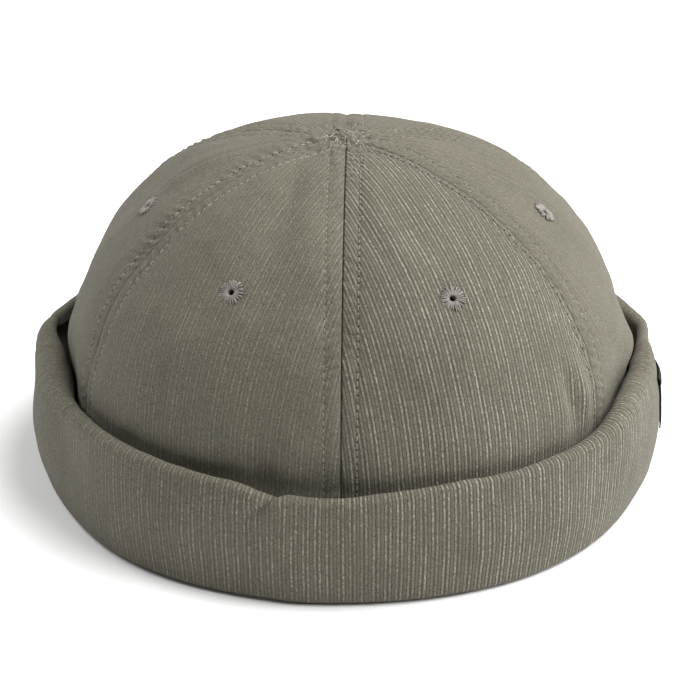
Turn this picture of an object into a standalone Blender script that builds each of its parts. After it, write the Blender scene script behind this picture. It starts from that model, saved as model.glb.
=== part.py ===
# Skullcap of striped cotton twill: six crown panels with stitched eyelets, a turned-up rolled cuff
# and a small plain tag. Metres, +Z up, the front faces -Y, left is -X, and the cuff rests on z = 0.

import math
from collections import namedtuple

import bmesh
import bpy
from mathutils import Vector

# Crown, measured to the outside of the cloth
CROWN_HALF_WIDTH = 0.0935
CROWN_HALF_DEPTH = 0.0951
CROWN_HEIGHT = 0.1132
PLAN_ROUNDNESS = 2.19  # 2 is an ellipse, more is squarer seen from above
TOP_ROUNDNESS = 2.99
SIDE_ROUNDNESS = 1.91
PANEL_WALL = 0.0015
PANEL_TIP_REACH = 0.0011  # how far each panel's point stops from the middle of the top
SEAM_DIP = 0.0009
SEAM_DIP_REACH = 0.0065
FOLD_DEPTH = 0.0030
BAND_TUCK = 0.0015  # how far the band draws the crown in at the floor

# Band and cuff, one strip of doubled cloth
CUFF_WALL = 0.0016
CUFF_HEIGHT = 0.0405
BAND_SEAM_HEIGHT = 0.0100  # where the panels end on the band, inside the cuff
FOOT_WIDTH = 0.0089  # from the band's middle to the cuff's middle, at the floor
FOOT_INNER_FOLD = 0.0010
FOOT_OUTER_FOLD = 0.0028
CUFF_BULGE = 0.0012
ROLL_FOLD = 0.0020  # hollow radius inside the rolled top edge
CUFF_SLACK = 0.0030  # air between the crown and the cuff's turned-in edge
RETURN_LENGTH = 0.0160

# Eyelets and tag
EYELET_DIAMETER = 0.0075
EYELET_HOLE = 0.0018
EYELET_PROUD = 0.0004
TAG_WIDTH = 0.0300
TAG_HEIGHT = 0.0190
TAG_WALL = 0.0006
TAG_BOTTOM = 0.0132
TAG_LIFT = 0.0012  # how far the tag's upper part stands off the cuff
TAG_AZIMUTH = 94.5

CLOTH_GAP = 0.0003  # left between pieces that touch

PANEL_COLUMNS = 9
PANEL_ROWS = 16
CUFF_TURNS = 64
CUTTER_DEPTH = 0.010
ROUND_SIDES = 16

# A seam for each azimuth in degrees, 0 at the front and growing to the right, and a panel after each
Panel = namedtuple("Panel", "name seam eyelet_azimuth eyelet_height")
PANELS = (
    Panel(name="front_right", seam=-1.1, eyelet_azimuth=26.7, eyelet_height=0.761),
    Panel(name="side_right", seam=58.3, eyelet_azimuth=81.0, eyelet_height=0.808),
    Panel(name="back_right", seam=120.0, eyelet_azimuth=150.0, eyelet_height=0.780),
    Panel(name="back_left", seam=180.0, eyelet_azimuth=210.0, eyelet_height=0.780),
    Panel(name="side_left", seam=240.0, eyelet_azimuth=276.0, eyelet_height=0.810),
    Panel(name="front_left", seam=296.4, eyelet_azimuth=330.0, eyelet_height=0.770),
)

# Dents (depth below 0) and swellings of the crown. Rise is 0 at the floor and 1 at the top. Length
# and width are shares of the crown's half width, turn is the fold's lean to the right of upright,
# and depth is a share of FOLD_DEPTH.
Fold = namedtuple("Fold", "azimuth rise length width turn depth")
FOLDS = (
    Fold(azimuth=-97, rise=0.26, length=0.30, width=0.55, turn=0, depth=0.20),
    Fold(azimuth=97, rise=0.26, length=0.30, width=0.55, turn=0, depth=0.45),
    Fold(azimuth=-112, rise=0.76, length=0.34, width=0.40, turn=0, depth=0.55),
    Fold(azimuth=-24, rise=0.70, length=0.24, width=0.075, turn=-10, depth=-0.50),
    Fold(azimuth=-42, rise=0.68, length=0.20, width=0.10, turn=-25, depth=0.20),
    Fold(azimuth=14, rise=0.76, length=0.26, width=0.06, turn=-8, depth=0.30),
    Fold(azimuth=-88, rise=0.72, length=0.42, width=0.05, turn=0, depth=0.28),
    Fold(azimuth=86, rise=0.72, length=0.42, width=0.05, turn=0, depth=0.28),
    Fold(azimuth=174, rise=0.88, length=0.09, width=0.09, turn=0, depth=0.45),
    Fold(azimuth=128, rise=0.66, length=0.24, width=0.34, turn=0, depth=0.25),
    Fold(azimuth=180, rise=0.90, length=0.16, width=0.40, turn=0, depth=-0.45),
)

# The cuff all round: rim is a share of CUFF_HEIGHT, roll of ROLL_FOLD, slack of CUFF_SLACK, foot of
# FOOT_WIDTH and bulge of CUFF_BULGE. The corners near 103 degrees are its storage folds.
CuffSection = namedtuple("CuffSection", "azimuth rim roll slack foot bulge")
CUFF_SECTIONS = (
    CuffSection(azimuth=-160, rim=0.970, roll=0.55, slack=0.10, foot=0.56, bulge=1.00),
    CuffSection(azimuth=-120, rim=0.995, roll=0.75, slack=0.60, foot=0.74, bulge=0.90),
    CuffSection(azimuth=-106, rim=1.030, roll=0.50, slack=1.30, foot=0.88, bulge=0.80),
    CuffSection(azimuth=-98, rim=1.035, roll=0.35, slack=1.60, foot=0.95, bulge=0.80),
    CuffSection(azimuth=-87, rim=1.020, roll=1.00, slack=0.72, foot=0.98, bulge=0.90),
    CuffSection(azimuth=-76, rim=1.020, roll=1.20, slack=0.33, foot=0.86, bulge=1.00),
    CuffSection(azimuth=-62, rim=1.020, roll=0.70, slack=0.02, foot=0.66, bulge=1.00),
    CuffSection(azimuth=-48, rim=0.995, roll=0.55, slack=0.02, foot=0.54, bulge=1.00),
    CuffSection(azimuth=-28, rim=0.980, roll=0.50, slack=0.02, foot=0.48, bulge=1.05),
    CuffSection(azimuth=-12, rim=0.870, roll=0.42, slack=0.02, foot=0.60, bulge=1.05),
    CuffSection(azimuth=0, rim=0.875, roll=0.45, slack=0.02, foot=0.64, bulge=1.00),
    CuffSection(azimuth=14, rim=0.905, roll=0.48, slack=0.02, foot=0.57, bulge=1.00),
    CuffSection(azimuth=30, rim=0.965, roll=0.50, slack=0.02, foot=0.48, bulge=1.00),
    CuffSection(azimuth=48, rim=0.980, roll=0.60, slack=0.02, foot=0.46, bulge=0.95),
    CuffSection(azimuth=68, rim=1.000, roll=0.80, slack=0.02, foot=0.60, bulge=1.20),
    CuffSection(azimuth=86, rim=1.005, roll=0.62, slack=0.12, foot=0.92, bulge=1.60),
    CuffSection(azimuth=94, rim=1.015, roll=0.50, slack=0.70, foot=0.96, bulge=1.30),
    CuffSection(azimuth=101, rim=1.020, roll=0.35, slack=1.25, foot=0.93, bulge=0.80),
    CuffSection(azimuth=120, rim=0.980, roll=0.70, slack=0.40, foot=0.74, bulge=0.90),
    CuffSection(azimuth=160, rim=0.970, roll=0.55, slack=0.10, foot=0.56, bulge=1.00),
)


def clear_scene():
    for thing in list(bpy.data.objects):
        bpy.data.objects.remove(thing, do_unlink=True)


def make_collection(name):
    collection = bpy.data.collections.new(name)
    bpy.context.scene.collection.children.link(collection)
    return collection


def make_material(name, colour, roughness, metallic=0.0):
    material = bpy.data.materials.new(name)
    material.use_nodes = True
    shader = material.node_tree.nodes["Principled BSDF"]
    shader.inputs["Base Color"].default_value = (*colour, 1.0)
    shader.inputs["Roughness"].default_value = roughness
    shader.inputs["Metallic"].default_value = metallic
    return material


def make_object(name, bm, material, collection):
    mesh = bpy.data.meshes.new(name)
    bm.to_mesh(mesh)
    bm.free()
    mesh.shade_smooth()
    mesh.materials.append(material)
    thing = bpy.data.objects.new(name, mesh)
    collection.objects.link(thing)
    return thing


def turned_by(azimuth, other):
    """The signed turn in degrees from other to azimuth, the short way round."""
    return (azimuth - other + 180.0) % 360.0 - 180.0


def around(column, azimuth):
    """A column of the cuff's table at any azimuth, on a smooth closed curve through its rows."""
    count = len(CUFF_SECTIONS)
    places = [section.azimuth % 360.0 for section in CUFF_SECTIONS]
    values = [getattr(section, column) for section in CUFF_SECTIONS]
    before = min(range(count), key=lambda row: (azimuth - places[row]) % 360.0)
    after = (before + 1) % count
    span = (places[after] - places[before]) % 360.0
    part = ((azimuth - places[before]) % 360.0) / span

    def slope(row):
        ahead, behind = (row + 1) % count, (row - 1) % count
        return (values[ahead] - values[behind]) / ((places[ahead] - places[behind]) % 360.0)

    square, cube = part * part, part ** 3
    return (
        values[before] * (2 * cube - 3 * square + 1)
        + values[after] * (3 * square - 2 * cube)
        + slope(before) * span * (cube - 2 * square + part)
        + slope(after) * span * (cube - square)
    )


def plan_point(azimuth):
    """The crown's outline on the floor."""
    turn = math.radians(azimuth)
    across, ahead = math.sin(turn), math.cos(turn)
    size = (abs(across) ** PLAN_ROUNDNESS + abs(ahead) ** PLAN_ROUNDNESS) ** (-1 / PLAN_ROUNDNESS)
    return Vector((CROWN_HALF_WIDTH * across * size, -CROWN_HALF_DEPTH * ahead * size, 0.0))


def plan_outward(azimuth):
    """The level direction out of that outline."""
    point = plan_point(azimuth)
    lean_x = abs(point.x / CROWN_HALF_WIDTH) ** (PLAN_ROUNDNESS - 1) / CROWN_HALF_WIDTH
    lean_y = abs(point.y / CROWN_HALF_DEPTH) ** (PLAN_ROUNDNESS - 1) / CROWN_HALF_DEPTH
    return Vector((math.copysign(lean_x, point.x), math.copysign(lean_y, point.y), 0.0)).normalized()


def bare_crown_point(azimuth, rise):
    height_share = math.sin(rise * math.pi / 2)
    reach = max(1.0 - height_share ** TOP_ROUNDNESS, 0.0) ** (1 / SIDE_ROUNDNESS)
    below_rim = max(1.0 - height_share * CROWN_HEIGHT / CUFF_HEIGHT, 0.0)
    reach -= BAND_TUCK / CROWN_HALF_WIDTH * below_rim ** 2
    point = plan_point(azimuth) * reach
    point.z = CROWN_HEIGHT * height_share
    return point


def crown_outward(azimuth, rise):
    """The crown's outward normal, from two short steps along it."""
    step = 0.001
    low, high = bare_crown_point(azimuth, rise - step), bare_crown_point(azimuth, rise + step)
    left, right = bare_crown_point(azimuth - step, rise), bare_crown_point(azimuth + step, rise)
    return (right - left).cross(high - low).normalized()


def seam_relief(azimuth, rise):
    """The valleys along the seams, which fade out inside the cuff."""
    point = bare_crown_point(azimuth, rise)
    depth = SEAM_DIP * min(point.z / CUFF_HEIGHT, 1.0)
    reaches = [math.radians(turned_by(azimuth, panel.seam)) * point.to_2d().length for panel in PANELS]
    return -depth * max(math.exp(-((reach / SEAM_DIP_REACH) ** 2)) for reach in reaches)


def fold_relief(azimuth, rise):
    """How far the table's folds lift the cloth off the plain dome."""
    radius = bare_crown_point(azimuth, rise).to_2d().length
    relief = 0.0
    for fold in FOLDS:
        beside = math.radians(turned_by(azimuth, fold.azimuth)) * radius / CROWN_HALF_WIDTH
        above = (rise - fold.rise) * math.pi / 2 * CROWN_HEIGHT / CROWN_HALF_WIDTH
        lean = math.radians(fold.turn)
        along = above * math.cos(lean) + beside * math.sin(lean)
        across = beside * math.cos(lean) - above * math.sin(lean)
        relief += fold.depth * FOLD_DEPTH * math.exp(-((along / fold.length) ** 2) - (across / fold.width) ** 2)
    return relief


def crown_point(azimuth, rise, seams=True):
    outward = crown_outward(azimuth, min(rise, 0.99))
    relief = fold_relief(azimuth, rise) + (seam_relief(azimuth, rise) if seams else 0.0)
    return bare_crown_point(azimuth, rise) + outward * relief


def rise_at_height(height):
    return math.asin(min(height / CROWN_HEIGHT, 1.0)) * 2 / math.pi


def rise_at_reach(reach):
    """The rise where the dome has closed to this radius at the side."""
    low, high = 0.5, 1.0
    for _ in range(40):
        middle = (low + high) / 2
        if bare_crown_point(90.0, middle).x > reach:
            low = middle
        else:
            high = middle
    return low


def crown_standing(azimuth, height):
    """How far the crown stands out of its outline on the floor at a height, along plan_outward."""
    point = crown_point(azimuth, rise_at_height(height), seams=False)
    return (point - plan_point(azimuth)).dot(plan_outward(azimuth))


def rim_height(azimuth):
    return CUFF_HEIGHT * around("rim", azimuth)


def roll_radius(azimuth):
    """The outside radius of the rolled top edge."""
    return CUFF_WALL + ROLL_FOLD * around("roll", azimuth)


def return_standing(azimuth, height):
    """The middle of the cuff's turned-in edge, which follows the crown."""
    slack = CLOTH_GAP + CUFF_SLACK * max(around("slack", azimuth), 0.0)
    return crown_standing(azimuth, height) + slack + CUFF_WALL / 2


def roll_middle(azimuth):
    """Where the rolled top edge turns about, as (standing out, height)."""
    height = rim_height(azimuth) - roll_radius(azimuth)
    fold = roll_radius(azimuth) - CUFF_WALL / 2
    return return_standing(azimuth, height) + fold, height


def foot_folds(azimuth):
    """The band's and the cuff's middles at the floor, and the radii of the two folds between."""
    inner = crown_standing(azimuth, BAND_SEAM_HEIGHT) - PANEL_WALL / 2
    width = FOOT_WIDTH * around("foot", azimuth)
    return inner, inner + width, min(FOOT_INNER_FOLD, width * 0.2), min(FOOT_OUTER_FOLD, width * 0.6)


def cuff_standing(azimuth, height):
    """The middle of the cuff's outer wall at a height."""
    _, outer, _, fold = foot_folds(azimuth)
    low = CUFF_WALL / 2 + fold
    middle, high = roll_middle(azimuth)
    top = middle + roll_radius(azimuth) - CUFF_WALL / 2
    part = (height - low) / (high - low)
    bulge = CUFF_BULGE * around("bulge", azimuth) * 4 * part * (1 - part)
    return outer + (top - outer) * part + bulge


def arc(middle, radius, start, end, steps):
    """Points on an arc in a section, angles in degrees from straight outward, turning upward."""
    turns = [math.radians(start + (end - start) * step / steps) for step in range(steps + 1)]
    return [(middle[0] + radius * math.cos(turn), middle[1] + radius * math.sin(turn)) for turn in turns]


def cuff_section(azimuth):
    """The strip's middle line from the band's seam, under the foot, up the cuff and over the roll."""
    inner, outer, inner_fold, outer_fold = foot_folds(azimuth)
    floor = CUFF_WALL / 2
    line = [(inner, BAND_SEAM_HEIGHT), (inner, (BAND_SEAM_HEIGHT + floor) / 2)]
    line += arc((inner + inner_fold, floor + inner_fold), inner_fold, 180, 270, 2)
    line += arc((outer - outer_fold, floor + outer_fold), outer_fold, 270, 360, 3)
    top_out, top_height = roll_middle(azimuth)
    low = floor + outer_fold
    wall_steps = 6
    for step in range(1, wall_steps):
        height = low + (top_height - low) * step / wall_steps
        line.append((cuff_standing(azimuth, height), height))
    line += arc((top_out, top_height), roll_radius(azimuth) - CUFF_WALL / 2, 0, 180, 6)
    for share in (0.5, 1.0):
        height = top_height - RETURN_LENGTH * share
        line.append((return_standing(azimuth, height), height))
    return line


def outward_point(azimuth, standing, height):
    point = plan_point(azimuth) + plan_outward(azimuth) * standing
    point.z = height
    return point


def add_solidify(thing, thickness, offset):
    wall = thing.modifiers.new("wall", "SOLIDIFY")
    wall.thickness = thickness
    wall.offset = offset
    wall.use_even_offset = True
    return wall


def make_panel(panel, next_seam, material, collection):
    """One crown panel, from the band's seam to its point at the top."""
    span = (next_seam - panel.seam) % 360.0
    low = rise_at_height(BAND_SEAM_HEIGHT + CLOTH_GAP)
    high = rise_at_reach(PANEL_TIP_REACH)
    bm = bmesh.new()
    bmesh.ops.create_grid(bm, x_segments=PANEL_COLUMNS, y_segments=PANEL_ROWS, size=0.5)
    for vert in bm.verts:
        column, row = vert.co.x + 0.5, vert.co.y + 0.5
        # Columns close up towards the seams, where the cloth dips
        column = 0.55 * column + 0.45 * (0.5 - 0.5 * math.cos(math.pi * column))
        rise = low + (high - low) * row
        radius = bare_crown_point(panel.seam, rise).to_2d().length
        inset = math.degrees(CLOTH_GAP / 2 / radius)
        azimuth = panel.seam + inset + (span - 2 * inset) * column
        vert.co = crown_point(azimuth, rise)
    thing = make_object("panel_" + panel.name, bm, material, collection)
    add_solidify(thing, PANEL_WALL, -1.0)
    return thing


def place_on_crown(thing, panel):
    """Moves and turns a piece so that its Z points out of the cloth, at the middle of the wall."""
    rise = rise_at_height(panel.eyelet_height * CROWN_HEIGHT)
    outward = crown_outward(panel.eyelet_azimuth, rise)
    thing.rotation_mode = "QUATERNION"
    thing.rotation_quaternion = outward.to_track_quat("Z", "Y")
    thing.location = crown_point(panel.eyelet_azimuth, rise) - outward * PANEL_WALL / 2


def make_eyelet(panel, material, collection):
    """A stitched ring, turned from its section, which fills its hole in the panel."""
    half = PANEL_WALL / 2 + EYELET_PROUD
    inner, outer = EYELET_HOLE / 2, EYELET_DIAMETER / 2
    round_over = EYELET_PROUD
    section = (
        (inner + round_over, half),
        (outer - 2 * round_over, half),
        (outer, half - round_over),
        (outer, round_over - half),
        (outer - 2 * round_over, -half),
        (inner + round_over, -half),
        (inner, 0.0),
    )
    name = "eyelet_" + panel.name
    mesh = bpy.data.meshes.new(name)
    count = len(section)
    mesh.from_pydata([(x, 0.0, z) for x, z in section], [(i, (i + 1) % count) for i in range(count)], [])
    mesh.materials.append(material)
    thing = bpy.data.objects.new(name, mesh)
    collection.objects.link(thing)
    turning = thing.modifiers.new("turning", "SCREW")
    turning.steps = turning.render_steps = ROUND_SIDES
    turning.use_merge_vertices = True
    turning.merge_threshold = 0.00001
    turning.use_smooth_shade = True
    place_on_crown(thing, panel)
    return thing


def cut_eyelet_hole(thing, panel, collection):
    bm = bmesh.new()
    radius = EYELET_DIAMETER / 2 + CLOTH_GAP
    bmesh.ops.create_cone(
        bm, cap_ends=True, segments=ROUND_SIDES, radius1=radius, radius2=radius, depth=CUTTER_DEPTH
    )
    mesh = bpy.data.meshes.new("cutter_" + panel.name)
    bm.to_mesh(mesh)
    bm.free()
    cutter = bpy.data.objects.new("cutter_" + panel.name, mesh)
    collection.objects.link(cutter)
    cutter.hide_render = True
    cutter.display_type = "WIRE"
    place_on_crown(cutter, panel)
    hole = thing.modifiers.new("eyelet_hole", "BOOLEAN")
    hole.operation = "DIFFERENCE"
    hole.object = cutter


def make_cuff(material, collection):
    """Band and cuff in one strip of doubled cloth, lofted round through its sections."""
    bm = bmesh.new()
    rings = []
    for turn in range(CUFF_TURNS):
        azimuth = 360.0 * turn / CUFF_TURNS
        rings.append([bm.verts.new(outward_point(azimuth, *place)) for place in cuff_section(azimuth)])
    for turn in range(CUFF_TURNS):
        here, beside = rings[turn], rings[(turn + 1) % CUFF_TURNS]
        for step in range(len(here) - 1):
            bm.faces.new((here[step], beside[step], beside[step + 1], here[step + 1]))
    thing = make_object("cuff", bm, material, collection)
    add_solidify(thing, CUFF_WALL, 0.0)
    return thing


def make_tag(material, collection):
    """A plain folded tag on the right of the cuff, whose upper part stands off a little."""
    bm = bmesh.new()
    bmesh.ops.create_grid(bm, x_segments=8, y_segments=6, size=0.5)
    radius = plan_point(TAG_AZIMUTH).length
    for vert in bm.verts:
        height = TAG_BOTTOM + TAG_HEIGHT * (vert.co.y + 0.5)
        azimuth = TAG_AZIMUTH + math.degrees(TAG_WIDTH * vert.co.x / radius)
        lift = TAG_LIFT * max(vert.co.y * 2, 0.0) ** 2
        standing = cuff_standing(azimuth, height) + CUFF_WALL / 2 + CLOTH_GAP + lift
        vert.co = outward_point(azimuth, standing, height)
    thing = make_object("tag", bm, material, collection)
    add_solidify(thing, TAG_WALL, 1.0)
    return thing


def main():
    clear_scene()
    pieces = make_collection("rolled_cuff_cap")
    cutters = make_collection("cutters")
    cloth = make_material("olive_twill", (0.139, 0.128, 0.098), 0.85)
    thread = make_material("grey_thread", (0.27, 0.24, 0.20), 0.60)
    black = make_material("black_tape", (0.012, 0.012, 0.013), 0.55)
    for number, panel in enumerate(PANELS):
        next_seam = PANELS[(number + 1) % len(PANELS)].seam
        crown_panel = make_panel(panel, next_seam, cloth, pieces)
        cut_eyelet_hole(crown_panel, panel, cutters)
        make_eyelet(panel, thread, pieces)
    make_cuff(cloth, pieces)
    make_tag(black, pieces)


main()
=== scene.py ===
import math
from collections import namedtuple
from functools import partial

import bpy
import numpy as np
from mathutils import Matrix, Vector


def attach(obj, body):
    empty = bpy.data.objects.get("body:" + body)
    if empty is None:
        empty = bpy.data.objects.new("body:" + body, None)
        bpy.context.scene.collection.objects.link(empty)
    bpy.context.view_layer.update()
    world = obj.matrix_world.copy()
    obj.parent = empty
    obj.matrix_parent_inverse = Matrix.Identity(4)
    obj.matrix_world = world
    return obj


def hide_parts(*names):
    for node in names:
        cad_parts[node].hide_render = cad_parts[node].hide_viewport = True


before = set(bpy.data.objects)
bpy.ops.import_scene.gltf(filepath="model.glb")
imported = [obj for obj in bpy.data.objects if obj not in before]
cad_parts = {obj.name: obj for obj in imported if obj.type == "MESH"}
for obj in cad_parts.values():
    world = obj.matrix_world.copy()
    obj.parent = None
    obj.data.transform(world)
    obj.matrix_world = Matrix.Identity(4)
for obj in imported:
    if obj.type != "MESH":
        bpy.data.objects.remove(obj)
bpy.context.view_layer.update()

# Rolled-cuff skullcap of striped twill: cloth, folds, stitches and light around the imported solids.
# Metres, +Z up, the front faces -Y. Azimuths are degrees, 0 at the front and growing to the right.

mm = 0.001
body = "root"

crown = {
    "halfWidth": 93.5 * mm,
    "halfDepth": 95.1 * mm,
    "height": 113.2 * mm,
    "planRoundness": 2.19,
    "topRoundness": 2.99,
    "sideRoundness": 1.91,
    "wall": 1.5 * mm,
    "bandTuck": 1.5 * mm,
    "foldDepth": 3.0 * mm,
    "seamDip": 0.9 * mm,
    "seamDipReach": 6.5 * mm,
    "bandSeamHeight": 10.3 * mm,
    "tipReach": 0.25 * mm,
    "columns": 104,
    "rows": 196,
    "grainShift": (0.31, 0.17),  # metres from one panel's grain to the next one's
}

seamFinish = {
    "overlap": 0.04 * mm,
    "grooveDepth": 0.62 * mm,
    "grooveReach": 0.26 * mm,
    "ridge": 0.30 * mm,  # the cloth's lift over the pressed seam allowance
    "ridgeMiddle": 2.4 * mm,
    "ridgeReach": 1.7 * mm,
    "stitchDip": 0.22 * mm,
    "stitchDipReach": 0.55 * mm,
    "puckerDepth": 0.36 * mm,
    "puckerLength": 3.5 * mm,
    "puckerReach": 5.6 * mm,
    "puckerShare": 0.55,  # how strong the puckers are, and how much that changes along the seam
    "puckerChange": 0.35,
    "puckerPatch": 22 * mm,
    "puckerDrift": 13 * mm,
    "puckerGap": 0.9 * mm,  # none beside the groove itself
}

stitching = {
    "pitch": 2.35 * mm,
    "length": 1.95 * mm,
    "thread": 0.21 * mm,
    "lift": 0.16 * mm,
    "bury": 0.20 * mm,  # how much deeper the threads of a weak row lie
    "sunk": 0.20 * mm,
    "startHeight": 30 * mm,
    "crossTurn": 66.0,  # degrees past the seam where a row has crossed those of the next seams
    "lastRise": 0.985,
}

clothSurface = {
    "swellDepth": 0.28 * mm,
    "swellSize": 34 * mm,
    "rippleDepth": 0.07 * mm,
    "rippleSize": 9 * mm,
    "rumpleDepth": 0.36 * mm,  # round the point where the panels meet
    "rumpleSize": 3.4 * mm,
    "rumpleReach": 15 * mm,
}

# Seam is the azimuth of the seam at the panel's left, groove that seam's depth as a share and stitches how
# far to its right and left the rows of topstitching run, in millimetres. Holes and lines say how strongly
# the painted shade of the needle holes and of the seam's dark line shows at the panel's left and right.
# Stripe says how strongly the stripes show on the panel, a painted sheen where the raised lines catch the
# light.
Panel = namedtuple("Panel", "name node seam groove stitches holes lines eyeletAzimuth eyeletHeight stripe")
panels = (
    Panel("FrontRight", "front_right", -1.1, 1.00, (4.9, 5.4), (1.0, 1.3), (1.0, 0.6), 26.7, 0.761, 1.18),
    Panel("SideRight", "side_right", 58.3, 0.45, (4.9, 2.6), (0.3, 0.4), (0.6, 0.4), 81.0, 0.808, 0.42),
    Panel("BackRight", "back_right", 120.0, 0.45, (4.9, 5.4), (0.4, 0.2), (0.4, 0.15), 150.0, 0.780, 0.50),
    Panel("BackLeft", "back_left", 180.0, 0.15, (4.9, 5.4), (0.2, 0.4), (0.15, 0.4), 210.0, 0.780, 0.50),
    Panel("SideLeft", "side_left", 240.0, 0.45, (4.9, 5.4), (0.4, 1.2), (0.4, 0.55), 276.0, 0.810, 0.36),
    Panel("FrontLeft", "front_left", 296.4, 0.30, (4.9, 3.3), (0.35, 0.35), (0.45, 1.0), 330.0, 0.770, 0.45),
)

# Dents (depth below 0) and swellings. Rise is 0 at the floor and 1 at the top, length and width are
# shares of the crown's half width, turn leans the fold right of upright, depth is a share of foldDepth.
Fold = namedtuple("Fold", "azimuth rise length width turn depth")
crownFolds = (
    Fold(-97, 0.26, 0.30, 0.55, 0, 0.20),
    Fold(97, 0.26, 0.30, 0.55, 0, 0.45),
    Fold(-112, 0.76, 0.34, 0.40, 0, 0.55),
    Fold(-24, 0.70, 0.24, 0.075, -10, -0.50),
    Fold(-42, 0.68, 0.20, 0.10, -25, 0.20),
    Fold(14, 0.76, 0.26, 0.06, -8, 0.30),
    Fold(-88, 0.72, 0.42, 0.05, 0, 0.28),
    Fold(86, 0.72, 0.42, 0.05, 0, 0.28),
    Fold(174, 0.88, 0.09, 0.09, 0, 0.45),
    Fold(128, 0.66, 0.24, 0.34, 0, 0.25),
    Fold(180, 0.90, 0.16, 0.40, 0, -0.45),
    Fold(-79, 0.20, 0.17, 0.20, 0, -1.45),
    Fold(72, 0.20, 0.17, 0.22, 0, -0.95),
)

# The finer dents and creases that only the cloth's own surface shows
fineFolds = (
    Fold(-17, 0.25, 0.11, 0.060, 6, -0.40),
    Fold(-11, 0.27, 0.10, 0.040, 4, 0.16),
    Fold(48.7, 0.30, 0.11, 0.030, -3, -0.52),
    Fold(52.8, 0.29, 0.11, 0.026, -3, 0.40),
    Fold(46, 0.27, 0.10, 0.050, 0, 0.10),
    Fold(-88, 0.72, 0.60, 0.012, 0, -0.12),
    Fold(86, 0.72, 0.60, 0.012, 0, -0.12),
    Fold(7, 0.80, 0.14, 0.030, 6, -0.16),
    Fold(21, 0.72, 0.22, 0.050, -10, -0.12),
    Fold(-30, 0.52, 0.30, 0.10, -12, 0.12),
    Fold(-48, 0.45, 0.26, 0.08, -20, -0.12),
    Fold(36, 0.48, 0.28, 0.12, 12, 0.12),
    Fold(0, 0.195, 0.11, 9.0, 0, -0.42),  # all round, behind the roll
    Fold(-13, 0.215, 0.12, 0.30, 0, -0.95),
    Fold(-46, 0.225, 0.11, 0.16, 0, -0.45),
    Fold(-31, 0.82, 0.13, 0.042, -22, -0.26),
    Fold(-19, 0.79, 0.13, 0.050, -22, 0.16),
    Fold(-50, 0.85, 0.10, 0.050, -22, 0.16),
    Fold(180, 0.91, 0.014, 0.30, 0, -0.10),
    Fold(78, 0.25, 0.08, 0.11, 0, 0.28),  # from here on, the swells of the crown's outline
    Fold(84, 0.262, 0.065, 0.11, 0, 0.70),
    Fold(96, 0.32, 0.13, 0.11, 0, -0.42),
    Fold(111, 0.45, 0.22, 0.13, 0, 0.33),
    Fold(126, 0.60, 0.22, 0.13, 0, 0.35),
    Fold(135, 0.67, 0.22, 0.13, 0, -0.13),
    Fold(144, 0.71, 0.22, 0.13, 0, -0.25),
    Fold(162, 0.75, 0.22, 0.13, 0, -0.18),
    Fold(171, 0.755, 0.22, 0.13, 0, -0.15),
    Fold(-146, 0.75, 0.22, 0.13, 0, 0.16),
    Fold(-126, 0.65, 0.22, 0.13, 0, 0.20),
    Fold(-118, 0.55, 0.22, 0.13, 0, 0.47),
    Fold(-110, 0.45, 0.13, 0.11, 0, 0.22),
    Fold(-103, 0.39, 0.13, 0.11, 0, -0.15),
    Fold(-97, 0.33, 0.13, 0.11, 0, -0.27),
    Fold(-91, 0.28, 0.13, 0.11, 0, 0.34),
    Fold(-85, 0.25, 0.13, 0.11, 0, 0.50),
    Fold(-76, 0.22, 0.13, 0.13, 0, 0.20),
)

cuff = {
    "wall": 1.6 * mm,
    "height": 40.5 * mm,
    "bandSeamHeight": 10.0 * mm,
    "footWidth": 8.9 * mm,
    "footInnerFold": 1.0 * mm,
    "footOuterFold": 2.8 * mm,
    "bulge": 1.2 * mm,
    "rollFold": 2.0 * mm,
    "slack": 3.0 * mm,
    "gap": 0.3 * mm,
    "returnLength": 16.0 * mm,
    "turns": 610,
    "wallSteps": 29,
    "foldDepth": 1.0 * mm,
}

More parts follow.
